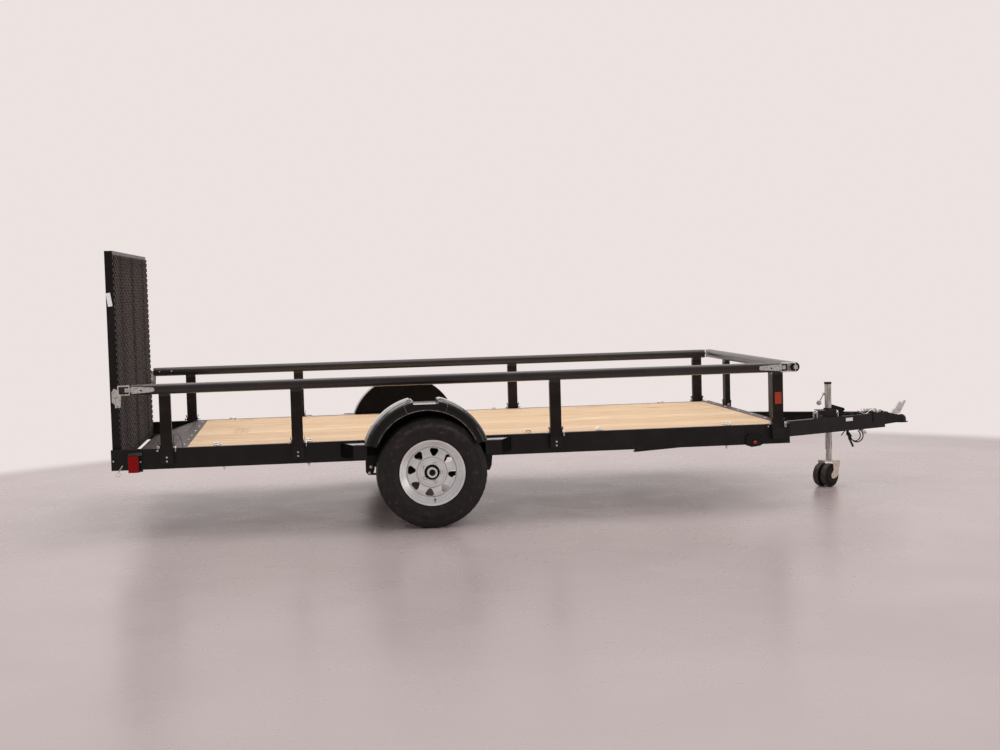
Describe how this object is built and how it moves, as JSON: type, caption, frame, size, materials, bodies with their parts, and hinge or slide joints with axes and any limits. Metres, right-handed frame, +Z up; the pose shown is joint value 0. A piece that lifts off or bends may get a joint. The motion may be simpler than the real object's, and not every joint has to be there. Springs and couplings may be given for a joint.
{
  "type": "utility trailer",
  "caption": "Single-axle utility trailer with a timber deck, tube side rails, a fold-down mesh ramp gate, round fenders and a tongue jack on castors.",
  "frame": {"origin": "on the ground, under the middle of the whole length and width", "axes": "+X forward to the coupler, +Y to the trailer's left, +Z up"},
  "size_m": [5.506, 2.504, 1.762],
  "materials": {
    "frame_black": "semi-gloss black powder coat",
    "tube_black": "satin black powder coat",
    "gate_black": "satin dark powder coat",
    "timber": "bare softwood planks",
    "dark_steel": "dark grey coated ribbed sheet",
    "galvanised": "galvanised",
    "zinc": "zinc plated",
    "fender_gloss": "gloss black",
    "tyre_rubber": "matte tyre rubber",
    "caster_rubber": "black caster tread",
    "red_lens": "red lens",
    "amber_lens": "amber lens",
    "black_plastic": "moulded black plastic"
  },
  "bodies": {
    "chassis": {"axle": "frame_black", "axle_clamps": "zinc", "coupler": "frame_black", "coupler_lever": "zinc", "crossmembers": "frame_black", "deck_planks": "timber", "dovetail_plate": "dark_steel", "draw_latches": "zinc", "fender_left": "fender_gloss", "fender_right": "fender_gloss", "frame_rail_left": "frame_black", "frame_rail_right": "frame_black", "front_catches": "zinc", "front_header": "dark_steel", "front_rail": "tube_black", "hinge_pins": "zinc", "jack_bracket": "dark_steel", "jack_cap": "black_plastic", "jack_clamp": "zinc", "jack_crank": "galvanised", "jack_handle": "black_plastic", "jack_outer_tube": "galvanised", "lamp_brackets": "frame_black", "lead_fittings": "black_plastic", "leaf_springs": "frame_black", "marker_brackets": "black_plastic", "marker_lamps": "amber_lens", "rail_pins": "zinc", "rear_member": "frame_black", "reflectors": "amber_lens", "safety_chains": "zinc", "side_rail_left": "tube_black", "side_rail_right": "tube_black", "spring_hangers": "frame_black", "stake_pockets": "frame_black", "tail_lamps": "red_lens", "tie_downs": "zinc", "tongue_beam_left": "frame_black", "tongue_beam_right": "frame_black", "tube_caps": "black_plastic", "wiring_cable": "black_plastic", "wiring_plug": "black_plastic"},
    "wheel_right": {"tyre_right": "tyre_rubber", "rim_right": "galvanised", "hub_right": "galvanised"},
    "wheel_left": {"tyre_left": "tyre_rubber", "rim_left": "galvanised", "hub_left": "galvanised"},
    "ramp_gate": {"gate_frame": "gate_black", "gate_mesh": "gate_black", "gate_catches": "zinc"},
    "jack_leg": {"jack_inner_tube": "galvanised"},
    "caster": {"caster_fork": "zinc"},
    "caster_pair": {"caster_wheels": "caster_rubber"}
  },
  "joints": [
    {"name": "wheel_right_spin", "type": "hinge", "parent": "chassis", "child": "wheel_right", "pos_m": [-0.797, -1.1375, 0.344], "axis": [0, 1, 0], "continuous": true},
    {"name": "wheel_left_spin", "type": "hinge", "parent": "chassis", "child": "wheel_left", "pos_m": [-0.797, 1.1375, 0.344], "axis": [0, 1, 0], "continuous": true},
    {"name": "gate_drop", "type": "hinge", "parent": "chassis", "child": "ramp_gate", "pos_m": [-2.739, 0, 0.472], "axis": [0, -1, 0], "range_deg": [0, 111]},
    {"name": "jack_lift", "type": "slide", "parent": "chassis", "child": "jack_leg", "axis": [0, 0, 1], "range_m": [-0.18, 0.07]},
    {"name": "caster_swivel", "type": "hinge", "parent": "jack_leg", "child": "caster", "pos_m": [2.107, -0.14993, 0.182], "axis": [0, 0, 1], "continuous": true},
    {"name": "caster_spin", "type": "hinge", "parent": "caster", "child": "caster_pair", "pos_m": [2.07423, -0.17287, 0.082], "axis": [-0.5736, 0.8192, 0], "continuous": true}
  ]
}
